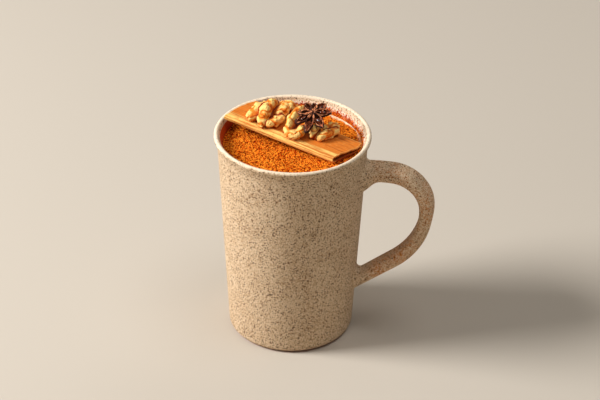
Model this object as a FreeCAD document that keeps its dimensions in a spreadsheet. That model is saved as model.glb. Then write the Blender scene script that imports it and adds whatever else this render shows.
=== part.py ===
import FreeCAD, Part
import math
import os
import Sketcher

# A stoneware mug of salep with its garnish: a curled slab of cinnamon bark across the mouth,
# walnut pieces heaped on the bark and one star anise.
# Origin: centre of the mug's flat base, +Z up, the handle along +X. All sizes in millimetres, degrees.

# Driving sizes of the mug and of the drink, one spreadsheet cell each.
mugSizes = {
    "mugHeight": 122.5,
    "rimRadius": 43.0,
    "shoulderRadius": 40.9,
    "baseRadius": 34.7,
    "wallThickness": 3.2,
    "floorThickness": 5.0,
    "lipRound": 1.3,
    "lipFlare": 9.0,
    "baseRound": 3.4,
    "cavityRound": 7.0,
    "drinkDepthBelowRim": 6.5,
    "drinkClearance": 0.1,
}

# The handle: a strap pulled in one piece, its centre line a level run, two bends and a straight run.
handleSizes = {
    "handleTopDrop": 18.6,
    "handleReach": 75.2,
    "upperBend": 20.7,
    "lowerBend": 44.0,
    "lowerTurn": 52.5,
    "strapTopWidth": 14.0,
    "strapLowWidth": 11.6,
    "strapTopThickness": 8.0,
    "strapLowThickness": 6.6,
    "strapRoundness": 0.38,
    "rootLength": 11.0,
    "rootDrop": 8.5,
    "rootSpread": 1.6,
    "rootFillet": 2.0,
    "lowRootBite": 5.0,
}


# The bark: a flattened quill, rolled under at its front edge, whose lower layer rises to the upper
# one at the rear. It leans from the rim down to the drink.
barkSizes = {
    "barkThickness": 1.1,
    "barkFold": 4.2,
    "barkUnderlap": 20.6,
    "barkRearGap": 0.5,
    "barkLength": 74.5,
    "barkWidth": 22.8,
    "barkLeftReach": -1.8,
    "barkFrontShort": 5.9,
    "barkTurn": -20.1,
    "barkStartRadius": 39.3,
    "barkStartAngle": 172.2,
}

# The star anise and where it is let down onto the walnuts, and the gap that garnish keeps from its seat.
aniseSizes = {
    "seatGap": 0.2,
    "aniseRadius": 10.8,
    "aniseCoreRadius": 1.5,
    "aniseCoreFoot": 0.9,
    "aniseCoreHeight": 2.9,
    "podHeight": 4.6,
    "podThickness": 4.2,
    "podOpening": 1.1,
    "podStart": 0.6,
    "podSpacing": 45.0,
    "aniseAlong": 44.6,
    "aniseAcross": 17.4,
    "aniseDrop": 16.0,
    "aniseTip": 27.0,
    "aniseTipTurn": 10.0,
}

# The pods, one after the other round the core: how long each is beside the anise's radius, how far
# its seam gapes beside the widest opening, and how many degrees it strays from an even spacing.
anisePods = {
    "pod_a": {"reach": 0.93, "gape": 0.9, "stray": 9},
    "pod_b": {"reach": 0.82, "gape": 1.0, "stray": 3},
    "pod_c": {"reach": 0.54, "gape": 0.3, "stray": 2},
    "pod_d": {"reach": 0.66, "gape": 0.6, "stray": 1},
    "pod_e": {"reach": 0.78, "gape": 0.3, "stray": 14},
    "pod_f": {"reach": 1.13, "gape": 0.8, "stray": 1},
    "pod_g": {"reach": 1.3, "gape": 0.7, "stray": -7},
    "pod_h": {"reach": 1.05, "gape": 1.0, "stray": -7},
}

# Walnut pieces on the bark: place along and across it, heading from its length, then the piece's own
# length, width and height, the depth of the cleft between its two lobes, its lean about its length
# and where the waves of its outline start.
barkWalnuts = {
    "walnut_left": {"along": 21.4, "across": 11.4, "heading": 98, "length": 22.8, "width": 19.4,
                    "height": 9.6, "cleft": 0.42, "lean": 3, "phase": 0.4},
    "walnut_middle": {"along": 38.0, "across": 14.4, "heading": 112, "length": 27.2, "width": 10.6,
                      "height": 7.8, "cleft": 0.6, "lean": -6, "phase": 2.1},
    "walnut_right": {"along": 57.0, "across": 16.6, "heading": 68, "length": 13.6, "width": 7.6,
                     "height": 7.6, "cleft": 0.5, "lean": 0, "phase": 3.7},
    "walnut_chip": {"along": 49.8, "across": 11.6, "heading": 100, "length": 7.2, "width": 4.0,
                    "height": 6.2, "cleft": 0.08, "lean": 0, "phase": 5.0},
}

# The piece that stands on the drink behind the bark, placed by its distance and bearing from the axis.
drinkWalnuts = {
    "walnut_back": {"distance": 32.6, "bearing": 106.5, "heading": 10, "length": 13.6, "width": 8.6,
                    "height": 8.4, "cleft": 0.3, "lean": 0, "phase": 1.2},
}

# How a walnut's surface is shaped: the share of its length left off each end, the power that makes
# its ends blunt, the heights of its long waves and short ripples, the cleft's half width beside the
# piece's, and how deep the belly is beside the height.
walnutForm = {"endShare": 0.03, "bluntness": 0.8, "waveHeight": 0.07, "wavePace": 5.2,
              "rippleHeight": 0.05, "rippleCount": 3, "rippleTwist": 4, "cleftWidth": 0.24,
              "belly": 0.12, "sections": 9, "points": 20}

# How a pod is shaped, as shares of its height: the keel's rise at the ends and to the beak, the
# crest's foot and swell; then the swell's fall to the beak, how much the pod narrows to its keel, the
# seam's half width beside the pod's, and where on a half wave its fullness starts and ends.
podForm = {"keelRise": 0.42, "beakRise": 0.25, "crestFoot": 0.55, "crestSwell": 0.4, "beakFall": 0.3,
           "keelNarrowing": 0.35, "seamWidth": 0.34, "fullStart": 0.12, "fullEnd": 0.98,
           "bluntness": 0.75, "sections": 8, "points": 16}

# The bark's broken outline, corner by corner: along from its left tip, left start or right end, and
# across from its front ridge or rear edge.
barkCorners = [
    ("tip", 0, "front", -0.5), ("frontEnd", 0, "front", -0.5), ("end", -4.5, "front", 5.4),
    ("end", -2.9, "front", 9.8), ("end", -1.0, "front", 13.4), ("end", 0, "front", 17.0),
    ("end", -0.4, "rear", -1.2), ("end", -1.6, "rear", 0.2), ("start", 6.2, "rear", 0.2),
    ("start", 3.3, "front", 17.0), ("start", 1.7, "front", 9.2), ("start", 0.9, "front", 1.9),
]
outlineMargin = 5.0

# Shares along the root of the handle's level run, and how steeply its flare falls off.
rootShares = (-0.3, 0.1, 0.5, 0.9)
rootFlarePower = 2.2
# How many stations follow each bend and the straight run.
upperSteps = 6
lowerSteps = 7
runSteps = 6

# How near a point or an edge has to lie to count as on a surface.
tolerance = 0.02
edgeSamples = 5


def makeSheet(doc, groups):
    """Put every driving size into one spreadsheet, a name beside its value."""
    sheet = doc.addObject("Spreadsheet::Sheet", "sizes")
    row = 1
    for group in groups:
        for name, value in group.items():
            sheet.set("A%d" % row, name)
            sheet.set("B%d" % row, str(value))
            sheet.setAlias("B%d" % row, name)
            row += 1
    doc.recompute()
    return sheet


def cellName(piece, size):
    """The cell of one size of a named piece, such as length of walnut_left in walnutLeftLength."""
    words = piece.split("_") + [size]
    return words[0] + "".join(word[0].upper() + word[1:] for word in words[1:])


def pieceCells(pieces):
    """The cells of a table of pieces, a name and a value for each size of each piece."""
    return {cellName(piece, size): value
            for piece, sizes in pieces.items()
            for size, value in sizes.items()}


def readPiece(sheet, pieces, name):
    """A piece's sizes as the sheet holds them."""
    return {size: getattr(sheet, cellName(name, size)) for size in pieces[name]}


def makeBody(doc, name):
    body = doc.addObject("PartDesign::Body", name)
    body.Label = name
    return body


def addSketch(body, name, role):
    """A sketch lying on one of its own body's origin planes."""
    plane = next(item for item in body.Origin.OriginFeatures if item.Role == role)
    sketch = body.newObject("Sketcher::SketchObject", name)
    sketch.AttachmentSupport = [(plane, "")]
    sketch.MapMode = "FlatFace"
    return sketch


def spot(sketch, across, up):
    """The point that two expressions give at the present sizes."""
    return FreeCAD.Vector(float(sketch.evalExpression(across)), float(sketch.evalExpression(up)), 0)


def pin(sketch, geometry, end, across, up):
    """Hold one point of the sketch where two expressions put it."""
    place = spot(sketch, across, up)
    for kind, value, axis, expression in (("DistanceX", place.x, -2, across),
                                          ("DistanceY", place.y, -1, up)):
        if abs(value) < 1e-9:
            sketch.addConstraint(Sketcher.Constraint("PointOnObject", geometry, end, axis))
        else:
            index = sketch.addConstraint(Sketcher.Constraint(kind, -1, 1, geometry, end, value))
            sketch.setExpression("Constraints[%d]" % index, expression)


def addLine(sketch, start, finish):
    return sketch.addGeometry(Part.LineSegment(start, finish))


def addArc(sketch, centre, radius, fromAngle, toAngle):
    """An arc run anticlockwise between two angles in degrees."""
    circle = Part.Circle(centre, FreeCAD.Vector(0, 0, 1), radius)
    return sketch.addGeometry(Part.ArcOfCircle(circle, math.radians(fromAngle), math.radians(toAngle)))


def join(sketch, first, firstEnd, second, secondEnd):
    sketch.addConstraint(Sketcher.Constraint("Coincident", first, firstEnd, second, secondEnd))


def joinSmooth(sketch, first, firstEnd, second, secondEnd):
    sketch.addConstraint(Sketcher.Constraint("Tangent", first, firstEnd, second, secondEnd))


def holdRadius(sketch, arc, value, expression):
    index = sketch.addConstraint(Sketcher.Constraint("Radius", arc, value))
    sketch.setExpression("Constraints[%d]" % index, expression)


def revolve(body, kind, sketch, name):
    """Turn a sketch a full turn about the body's upright axis."""
    feature = body.newObject("PartDesign::" + kind, name)
    feature.Profile = sketch
    feature.ReferenceAxis = (sketch, ["V_Axis"])
    feature.Angle = 360.0
    return feature


def flareArc(wallTop, lipCentre, lipRound, lean, inside):
    """Centre, radius and end angle of the arc that carries a wall outwards into its lip.

    It starts along the wall, which leans outwards by lean degrees, and ends tangent to the lip's round.
    """
    side = -1 if inside else 1
    normal = FreeCAD.Vector(math.cos(math.radians(lean)), -math.sin(math.radians(lean)), 0)
    reach = lipCentre - wallTop
    radius = (reach.dot(reach) - lipRound ** 2) / (2 * (reach.dot(normal) + side * lipRound))
    centre = wallTop + normal * radius
    toLip = lipCentre - centre
    return centre, radius, math.degrees(math.atan2(toLip.y, toLip.x))


wallLean = "atan((sizes.shoulderRadius - sizes.baseRadius) / (sizes.mugHeight - sizes.lipFlare))"
shoulderHeight = "sizes.mugHeight - sizes.lipFlare"
lipCentreRadius = "sizes.rimRadius - sizes.lipRound"
lipCentreHeight = "sizes.mugHeight - sizes.lipRound"


def drawMugOutline(sketch):
    """Half of the mug's outside: foot, leaning wall, outward flare and the outer half of the lip."""
    lipRound = float(sketch.evalExpression("sizes.lipRound"))
    lean = float(sketch.evalExpression(wallLean))
    foot = spot(sketch, "sizes.baseRadius", "0")
    shoulder = spot(sketch, "sizes.shoulderRadius", shoulderHeight)
    lipCentre = spot(sketch, lipCentreRadius, lipCentreHeight)
    centre, radius, endAngle = flareArc(shoulder, lipCentre, lipRound, lean, False)
    crown = lipCentre + FreeCAD.Vector(0, lipRound, 0)
    axisTop = FreeCAD.Vector(0, crown.y, 0)

    base = addLine(sketch, FreeCAD.Vector(0, 0, 0), foot)
    wall = addLine(sketch, foot, shoulder)
    flare = addArc(sketch, centre, radius, endAngle, 180 - lean)
    lip = addArc(sketch, lipCentre, lipRound, endAngle - 180, 90)
    top = addLine(sketch, crown, axisTop)
    axis = addLine(sketch, axisTop, FreeCAD.Vector(0, 0, 0))
    join(sketch, base, 1, -1, 1)
    join(sketch, base, 2, wall, 1)
    pin(sketch, wall, 1, "sizes.baseRadius", "0")
    pin(sketch, wall, 2, "sizes.shoulderRadius", shoulderHeight)
    joinSmooth(sketch, wall, 2, flare, 2)
    joinSmooth(sketch, flare, 1, lip, 1)
    pin(sketch, lip, 3, lipCentreRadius, lipCentreHeight)
    holdRadius(sketch, lip, lipRound, "sizes.lipRound")
    sketch.addConstraint(Sketcher.Constraint("Vertical", lip, 3, lip, 2))
    join(sketch, lip, 2, top, 1)
    sketch.addConstraint(Sketcher.Constraint("Horizontal", top))
    join(sketch, top, 2, axis, 1)
    join(sketch, axis, 2, -1, 1)
    sketch.addConstraint(Sketcher.Constraint("Vertical", axis))


def drawCavity(sketch, clearance):
    """Half of the space inside the mug, drawn clearance smaller than the wall and floor."""
    floor = "sizes.floorThickness + %s" % clearance
    inset = "sizes.wallThickness + %s" % clearance
    roundExpression = "sizes.lipRound + %s" % clearance
    wallTop = "sizes.shoulderRadius - (%s)" % inset
    floorEdge = "sizes.baseRadius - (%s) + (%s) * tan(%s)" % (inset, floor, wallLean)
    lipRound = float(sketch.evalExpression(roundExpression))
    lean = float(sketch.evalExpression(wallLean))
    corner = spot(sketch, floorEdge, floor)
    shoulder = spot(sketch, wallTop, shoulderHeight)
    lipCentre = spot(sketch, lipCentreRadius, lipCentreHeight)
    centre, radius, endAngle = flareArc(shoulder, lipCentre, lipRound, lean, True)
    crown = lipCentre + FreeCAD.Vector(0, lipRound, 0)
    axisTop = FreeCAD.Vector(0, crown.y, 0)
    axisFoot = FreeCAD.Vector(0, corner.y, 0)
    lipAngle = math.degrees(math.atan2((centre - lipCentre).y, (centre - lipCentre).x)) + 180

    base = addLine(sketch, axisFoot, corner)
    wall = addLine(sketch, corner, shoulder)
    flare = addArc(sketch, centre, radius, lipAngle, 180 - lean)
    lip = addArc(sketch, lipCentre, lipRound, 90, lipAngle)
    top = addLine(sketch, crown, axisTop)
    axis = addLine(sketch, axisTop, axisFoot)
    join(sketch, base, 2, wall, 1)
    sketch.addConstraint(Sketcher.Constraint("Horizontal", base))
    pin(sketch, wall, 1, floorEdge, floor)
    pin(sketch, wall, 2, wallTop, shoulderHeight)
    joinSmooth(sketch, wall, 2, flare, 2)
    joinSmooth(sketch, flare, 1, lip, 2)
    pin(sketch, lip, 3, lipCentreRadius, lipCentreHeight)
    holdRadius(sketch, lip, lipRound, roundExpression)
    sketch.addConstraint(Sketcher.Constraint("Vertical", lip, 3, lip, 1))
    join(sketch, lip, 1, top, 1)
    sketch.addConstraint(Sketcher.Constraint("Horizontal", top))
    join(sketch, top, 2, axis, 1)
    join(sketch, axis, 2, base, 1)
    sketch.addConstraint(Sketcher.Constraint("PointOnObject", axis, 1, -2))
    sketch.addConstraint(Sketcher.Constraint("PointOnObject", axis, 2, -2))


def levelEdges(feature, height):
    """Names of the round edges that lie level at this height."""
    names = []
    for number, edge in enumerate(feature.Shape.Edges, 1):
        box = edge.BoundBox
        if abs(box.ZMin - height) < tolerance and abs(box.ZMax - height) < tolerance:
            names.append("Edge%d" % number)
    return names


def jointEdges(feature, outline):
    """Names of the edges where the strap meets the leaning wall."""
    slope = math.tan(math.radians(float(outline.evalExpression(wallLean))))
    baseRadius = float(outline.evalExpression("sizes.baseRadius"))
    reach = float(outline.evalExpression("sizes.strapTopWidth + sizes.rootSpread"))
    names = []
    for number, edge in enumerate(feature.Shape.Edges, 1):
        points = edge.discretize(edgeSamples)
        onWall = all(abs(math.hypot(p.x, p.y) - baseRadius - slope * p.z) < tolerance for p in points)
        if onWall and all(p.x > 0 and abs(p.y) < reach for p in points):
            names.append("Edge%d" % number)
    return names


def addFillet(body, base, edges, expression, name):
    fillet = body.newObject("PartDesign::Fillet", name)
    fillet.Base = (base, edges)
    fillet.setExpression("Radius", expression)
    return fillet


def handleSection(body, number, station):
    """One section of the strap: a rounded rectangle square to the handle's centre line."""
    sketch = addSketch(body, "strapSection%d" % number, "YZ_Plane")
    across = "(%s) / 2" % station["width"]
    up = "(%s) / 2" % station["thickness"]
    turn = float(sketch.evalExpression(station["turn"]))
    place = FreeCAD.Vector(0, float(sketch.evalExpression(station["height"])),
                           float(sketch.evalExpression(station["reach"])))
    sketch.AttachmentOffset = FreeCAD.Placement(place, FreeCAD.Rotation(FreeCAD.Vector(1, 0, 0), turn))
    sketch.setExpression("AttachmentOffset.Base.y", station["height"])
    sketch.setExpression("AttachmentOffset.Base.z", station["reach"])
    sketch.setExpression("AttachmentOffset.Rotation.Angle", station["turn"])
    drawRoundedRectangle(sketch, across, up, "sizes.strapRoundness * (%s)" % station["thickness"])
    return sketch


def drawRoundedRectangle(sketch, halfWidth, halfHeight, roundExpression):
    """A rectangle about the sketch's origin whose corners are arcs."""
    radius = float(sketch.evalExpression(roundExpression))
    size = spot(sketch, halfWidth, halfHeight)
    corners = []
    for number, (sideX, sideY) in enumerate(((1, 1), (-1, 1), (-1, -1), (1, -1))):
        centre = FreeCAD.Vector(sideX * (size.x - radius), sideY * (size.y - radius), 0)
        corners.append(addArc(sketch, centre, radius, 90 * number, 90 * number + 90))
    sides = []
    for number in range(4):
        arc = sketch.Geometry[corners[number]]
        following = sketch.Geometry[corners[(number + 1) % 4]]
        sides.append(addLine(sketch, arc.EndPoint, following.StartPoint))
    for number in range(4):
        joinSmooth(sketch, corners[number], 2, sides[number], 1)
        joinSmooth(sketch, sides[number], 2, corners[(number + 1) % 4], 1)
        direction = "Horizontal" if number % 2 == 0 else "Vertical"
        sketch.addConstraint(Sketcher.Constraint(direction, sides[number]))
        if number:
            sketch.addConstraint(Sketcher.Constraint("Equal", corners[0], corners[number]))
    holdRadius(sketch, corners[0], radius, roundExpression)
    sketch.addConstraint(Sketcher.Constraint("Symmetric", corners[0], 3, corners[2], 3, -1, 1))
    across = "%s - %s" % (halfWidth, roundExpression)
    up = "%s - %s" % (halfHeight, roundExpression)
    pin(sketch, corners[0], 3, across, up)


def strapStations():
    """Stations along the handle, from inside the wall at the top to inside the wall at the foot.

    The level run drops and widens towards the wall like a parabola. The bends are circular arcs, and
    the strap gets narrower and thinner evenly from the start of the upper bend to its lower end.
    """
    topHeight = "(sizes.mugHeight - sizes.handleTopDrop)"
    wallReach = "(sizes.baseRadius + %s * tan(%s))" % (topHeight, wallLean)
    bendHeight = "(%s - sizes.upperBend)" % topHeight
    upperCentre = "(sizes.handleReach - sizes.upperBend)"
    lowerCentre = "(sizes.handleReach - sizes.lowerBend)"
    stations = []
    for share in rootShares:
        flare = "(1 - %g) ^ %g" % (share, rootFlarePower)
        drop = "(sizes.rootDrop * %s)" % flare
        stations.append({
            "reach": "%s + %g * sizes.rootLength" % (wallReach, share),
            "height": "%s - %s / 2" % (topHeight, drop),
            "turn": "0",
            "width": "sizes.strapTopWidth + 2 * sizes.rootSpread * %s" % flare,
            "thickness": "sizes.strapTopThickness + %s" % drop,
        })
    bends = []
    for step in range(upperSteps + 1):
        bends.append(("sizes.upperBend", upperCentre, "%g" % (90 * step / upperSteps)))
    for step in range(1, lowerSteps + 1):
        bends.append(("sizes.lowerBend", lowerCentre, "(90 + %g * sizes.lowerTurn)" % (step / lowerSteps)))
    total = len(bends) + runSteps - 1
    for number, (radius, centre, turn) in enumerate(bends):
        stations.append({
            "reach": "%s + %s * sin(%s)" % (centre, radius, turn),
            "height": "%s + %s * cos(%s)" % (bendHeight, radius, turn),
            "turn": turn,
            "width": taper("sizes.strapTopWidth", "sizes.strapLowWidth", number / total),
            "thickness": taper("sizes.strapTopThickness", "sizes.strapLowThickness", number / total),
        })
    bendEnd = stations[-1]
    rootReach = "(sizes.baseRadius - sizes.lowRootBite)"
    for step in range(1, runSteps + 1):
        back = "(%g * (%s - %s))" % (step / runSteps, bendEnd["reach"], rootReach)
        along = (len(bends) + step - 1) / total
        stations.append({
            "reach": "%s - %s" % (bendEnd["reach"], back),
            "height": "%s - %s / tan(sizes.lowerTurn)" % (bendEnd["height"], back),
            "turn": bendEnd["turn"],
            "width": taper("sizes.strapTopWidth", "sizes.strapLowWidth", along),
            "thickness": taper("sizes.strapTopThickness", "sizes.strapLowThickness", along),
        })
    return stations


def taper(first, last, along):
    return "%s + %g * (%s - %s)" % (first, along, last, first)


def buildMug(doc):
    body = makeBody(doc, "mug")
    outline = addSketch(body, "mugOutline", "YZ_Plane")
    drawMugOutline(outline)
    turned = revolve(body, "Revolution", outline, "turnedClay")
    doc.recompute()
    addFillet(body, turned, levelEdges(turned, 0), "sizes.baseRound", "baseEdgeRound")
    doc.recompute()
    sections = [handleSection(body, number, station) for number, station in enumerate(strapStations())]
    doc.recompute()
    strap = body.newObject("PartDesign::AdditiveLoft", "pulledStrap")
    strap.Profile = sections[0]
    strap.Sections = sections[1:]
    strap.Ruled = False
    doc.recompute()
    addFillet(body, strap, jointEdges(strap, outline), "sizes.rootFillet", "strapJointRound")
    cavity = addSketch(body, "cavityProfile", "YZ_Plane")
    drawCavity(cavity, "0")
    hollow = revolve(body, "Groove", cavity, "hollow")
    doc.recompute()
    floorHeight = float(cavity.evalExpression("sizes.floorThickness"))
    addFillet(body, hollow, levelEdges(hollow, floorHeight), "sizes.cavityRound", "cavityFloorRound")
    return body


def buildSalep(doc):
    """The drink: the cavity's shape a hair smaller, cut off level below the rim."""
    body = makeBody(doc, "salep")
    profile = addSketch(body, "drinkProfile", "YZ_Plane")
    drawCavity(profile, "sizes.drinkClearance")
    filled = revolve(body, "Revolution", profile, "filled")
    doc.recompute()
    floorHeight = float(profile.evalExpression("sizes.floorThickness + sizes.drinkClearance"))
    footRound = "sizes.cavityRound - sizes.drinkClearance"
    addFillet(body, filled, levelEdges(filled, floorHeight), footRound, "footRound")
    doc.recompute()
    level = addSketch(body, "levelCut", "YZ_Plane")
    surface = "sizes.mugHeight - sizes.drinkDepthBelowRim"
    above = "sizes.mugHeight + sizes.lipRound"
    drawLoop(level, [("0", surface), ("sizes.rimRadius", surface),
                     ("sizes.rimRadius", above), ("0", above)])
    revolve(body, "Groove", level, "levelSurface")
    return body


def drawLoop(sketch, ends):
    """A closed loop of lines through points that pairs of expressions give."""
    corners = [spot(sketch, *end) for end in ends]
    lines = []
    for number, corner in enumerate(corners):
        lines.append(addLine(sketch, corner, corners[(number + 1) % len(ends)]))
    for number, line in enumerate(lines):
        join(sketch, line, 2, lines[(number + 1) % len(ends)], 1)
        pin(sketch, line, 1, *ends[number])


def barkPlacement(sheet):
    """Where the bark's front ridge starts, and how the sheet turns and tilts from there.

    Its left end lies over the lip and its right end on the drink, so its fall is the drink's depth.
    """
    angle = math.radians(sheet.barkStartAngle)
    run = sheet.barkLength - sheet.barkFrontShort - sheet.barkLeftReach
    slope = sheet.drinkDepthBelowRim / run
    height = sheet.mugHeight + sheet.seatGap + sheet.barkFold + sheet.barkLeftReach * slope
    start = FreeCAD.Vector(sheet.barkStartRadius * math.cos(angle),
                           sheet.barkStartRadius * math.sin(angle), height)
    turn = FreeCAD.Rotation(FreeCAD.Vector(0, 0, 1), sheet.barkTurn)
    tilt = FreeCAD.Rotation(FreeCAD.Vector(0, 1, 0), math.degrees(math.asin(slope)))
    return FreeCAD.Placement(start, turn.multiply(tilt))


def buildBark(doc, sheet):
    """A sheet of bark with its front edge rolled under, cut to its outline by a ring-shaped pocket."""
    body = makeBody(doc, "cinnamon_bark")
    section = addSketch(body, "rolledSection", "YZ_Plane")
    drawRolledSection(section)
    sheetPad = body.newObject("PartDesign::Pad", "rolledSheet")
    sheetPad.Profile = section
    sheetPad.setExpression("Length", "sizes.barkLength - sizes.barkLeftReach")
    tip = FreeCAD.Vector(0, 0, sheet.barkLeftReach)
    section.AttachmentOffset = FreeCAD.Placement(tip, FreeCAD.Rotation())
    section.setExpression("AttachmentOffset.Base.z", "sizes.barkLeftReach")
    outline = addSketch(body, "brokenOutline", "XY_Plane")
    drawBarkOutline(outline)
    trim = body.newObject("PartDesign::Pocket", "brokenEdges")
    trim.Profile = outline
    trim.Type = "ThroughAll"
    trim.Midplane = True
    body.Placement = barkPlacement(sheet)
    return body


def drawRolledSection(sketch):
    """The quill end on: upper layer, rolled front edge and the lower layer that rises to the rear.

    The lower layer's two faces are the tangents of the roll's inner and outer arcs that run to its
    rear edge, one thickness apart.
    """
    outer = float(sketch.evalExpression("sizes.barkFold / 2"))
    inner = float(sketch.evalExpression("sizes.barkFold / 2 - sizes.barkThickness"))
    width = float(sketch.evalExpression("sizes.barkWidth"))
    thickness = float(sketch.evalExpression("sizes.barkThickness"))
    centre = FreeCAD.Vector(outer, -outer, 0)
    lipTop = spot(sketch, "sizes.barkUnderlap", "-sizes.barkThickness - sizes.barkRearGap")
    reach = lipTop - centre
    leaving = math.atan2(reach.y, reach.x) - math.acos(inner / reach.Length)
    down = FreeCAD.Vector(math.cos(leaving), math.sin(leaving), 0)
    leavingAngle = 360 + math.degrees(leaving)
    frontTop = FreeCAD.Vector(outer, 0, 0)
    insideTop = FreeCAD.Vector(outer, -thickness, 0)
    rearBottom = FreeCAD.Vector(width, -thickness, 0)
    rearTop = FreeCAD.Vector(width, 0, 0)
    lipBottom = lipTop + down * thickness
    front = addArc(sketch, centre, outer, 90, leavingAngle)
    under = addLine(sketch, centre + down * outer, lipBottom)
    lip = addLine(sketch, lipBottom, lipTop)
    back = addLine(sketch, lipTop, centre + down * inner)
    inside = addArc(sketch, centre, inner, 90, leavingAngle)
    below = addLine(sketch, insideTop, rearBottom)
    rear = addLine(sketch, rearBottom, rearTop)
    top = addLine(sketch, rearTop, frontTop)
    joinSmooth(sketch, front, 2, under, 1)
    join(sketch, under, 2, lip, 1)
    join(sketch, lip, 2, back, 1)
    joinSmooth(sketch, back, 2, inside, 2)
    joinSmooth(sketch, inside, 1, below, 1)
    join(sketch, below, 2, rear, 1)
    join(sketch, rear, 2, top, 1)
    joinSmooth(sketch, top, 2, front, 1)
    pin(sketch, front, 3, "sizes.barkFold / 2", "-sizes.barkFold / 2")
    holdRadius(sketch, front, outer, "sizes.barkFold / 2")
    pin(sketch, inside, 3, "sizes.barkFold / 2", "-sizes.barkFold / 2")
    holdRadius(sketch, inside, inner, "sizes.barkFold / 2 - sizes.barkThickness")
    for line in (below, top):
        sketch.addConstraint(Sketcher.Constraint("Horizontal", line))
    sketch.addConstraint(Sketcher.Constraint("Vertical", rear))
    holdAcross(sketch, rear, "sizes.barkWidth")
    pin(sketch, back, 1, "sizes.barkUnderlap", "-sizes.barkThickness - sizes.barkRearGap")
    sketch.addConstraint(Sketcher.Constraint("Parallel", under, back))
    sketch.addConstraint(Sketcher.Constraint("Perpendicular", lip, back))


def holdAcross(sketch, line, expression):
    value = float(sketch.evalExpression(expression))
    index = sketch.addConstraint(Sketcher.Constraint("DistanceX", -1, 1, line, 1, value))
    sketch.setExpression("Constraints[%d]" % index, expression)


def drawBarkOutline(sketch):
    """The outline to keep, inside a rectangle larger than the sheet."""
    left = "sizes.barkLeftReach - %g" % outlineMargin
    right = "sizes.barkLength + %g" % outlineMargin
    rear = "sizes.barkWidth + %g" % outlineMargin
    frame = [(left, "-%g" % outlineMargin), (right, "-%g" % outlineMargin), (right, rear), (left, rear)]
    anchors = {"tip": "sizes.barkLeftReach", "start": "0", "end": "sizes.barkLength",
               "frontEnd": "sizes.barkLength - sizes.barkFrontShort",
               "front": "0", "rear": "sizes.barkWidth"}
    keep = [("%s + %g" % (anchors[side], along), "%s + %g" % (anchors[edge], across))
            for side, along, edge, across in barkCorners]
    for loop in (frame, keep):
        drawLoop(sketch, loop)


def closedCurve(points):
    """A smooth closed wire through the points."""
    curve = Part.BSplineCurve()
    curve.interpolate(Points=points, PeriodicFlag=True)
    return Part.Wire([curve.toShape()])


def podSolid(pod, sheet):
    """One boat-shaped pod lofted outwards along X: a keel below, a beak, and a seam that gapes on top."""
    form = podForm
    tip = sheet.aniseRadius * pod["reach"]
    wires = []
    for step in range(form["sections"]):
        share = step / (form["sections"] - 1)
        reach = sheet.podStart + (tip - sheet.podStart) * share
        phase = form["fullStart"] + (form["fullEnd"] - form["fullStart"]) * share
        fullness = math.sin(math.pi * phase) ** form["bluntness"]
        swell = form["crestSwell"] * fullness * (1 - form["beakFall"] * share)
        keel = sheet.podHeight * (form["keelRise"] * (1 - fullness) + form["beakRise"] * share ** 3)
        crest = sheet.podHeight * (form["crestFoot"] + swell)
        points = []
        for number in range(form["points"]):
            angle = 2 * math.pi * number / form["points"]
            cosine = math.cos(angle)
            sine = math.sin(angle)
            seam = fullness * math.exp(-(cosine / form["seamWidth"]) ** 2) if sine > 0 else 0
            narrow = 1 if sine > 0 else 1 + form["keelNarrowing"] * sine
            across = sheet.podThickness / 2 * fullness * cosine * narrow
            height = (keel + crest) / 2 + (crest - keel) / 2 * sine - pod["gape"] * sheet.podOpening * seam
            points.append(FreeCAD.Vector(reach, across, height))
        wires.append(closedCurve(points))
    return Part.makeLoft(wires, True, False)


def aniseSolid(sheet):
    """The pods about a short core, all one piece."""
    foot = FreeCAD.Vector(0, 0, sheet.aniseCoreFoot)
    core = Part.makeCylinder(sheet.aniseCoreRadius, sheet.aniseCoreHeight, foot)
    pods = []
    for number, name in enumerate(anisePods):
        pod = readPiece(sheet, anisePods, name)
        solid = podSolid(pod, sheet)
        solid.rotate(FreeCAD.Vector(), FreeCAD.Vector(0, 0, 1), sheet.podSpacing * number + pod["stray"])
        pods.append(solid)
    return core.fuse(pods)


def walnutSolid(piece):
    """A walnut piece lofted along its length through closed curves, two lobes with a cleft between.

    Each section's half width and height follow a half circle along the length, and a few waves
    make the outline uneven. The underside is a shallow belly.
    """
    form = walnutForm
    wires = []
    for step in range(form["sections"]):
        share = (1 - form["endShare"]) * (2 * step / (form["sections"] - 1) - 1)
        fullness = math.sqrt(1 - share ** 2) ** form["bluntness"]
        wave = 1 + form["waveHeight"] * math.sin(form["wavePace"] * share + piece["phase"])
        points = []
        for number in range(form["points"]):
            angle = 2 * math.pi * number / form["points"]
            cosine = math.cos(angle)
            sine = math.sin(angle)
            turn = form["rippleCount"] * angle + form["rippleTwist"] * share + piece["phase"]
            ripple = 1 + form["rippleHeight"] * math.sin(turn)
            cleft = 1 - piece["cleft"] * math.exp(-(cosine / form["cleftWidth"]) ** 2)
            rise = sine * cleft if sine > 0 else form["belly"] * sine
            across = piece["width"] / 2 * fullness * wave * cosine * ripple
            height = piece["height"] * fullness * rise * ripple
            points.append(FreeCAD.Vector(piece["length"] / 2 * share, across, height))
        wires.append(closedCurve(points))
    return Part.makeLoft(wires, True, False)


def addFeature(doc, name, shape, placement):
    feature = doc.addObject("Part::Feature", name)
    feature.Label = name
    feature.Shape = shape
    feature.Placement = placement
    return feature


def turnedPiece(piece):
    """How a walnut piece lies: leaned about its length, then turned to its heading."""
    lean = FreeCAD.Rotation(FreeCAD.Vector(1, 0, 0), piece["lean"])
    return FreeCAD.Rotation(FreeCAD.Vector(0, 0, 1), piece["heading"]).multiply(lean)


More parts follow.
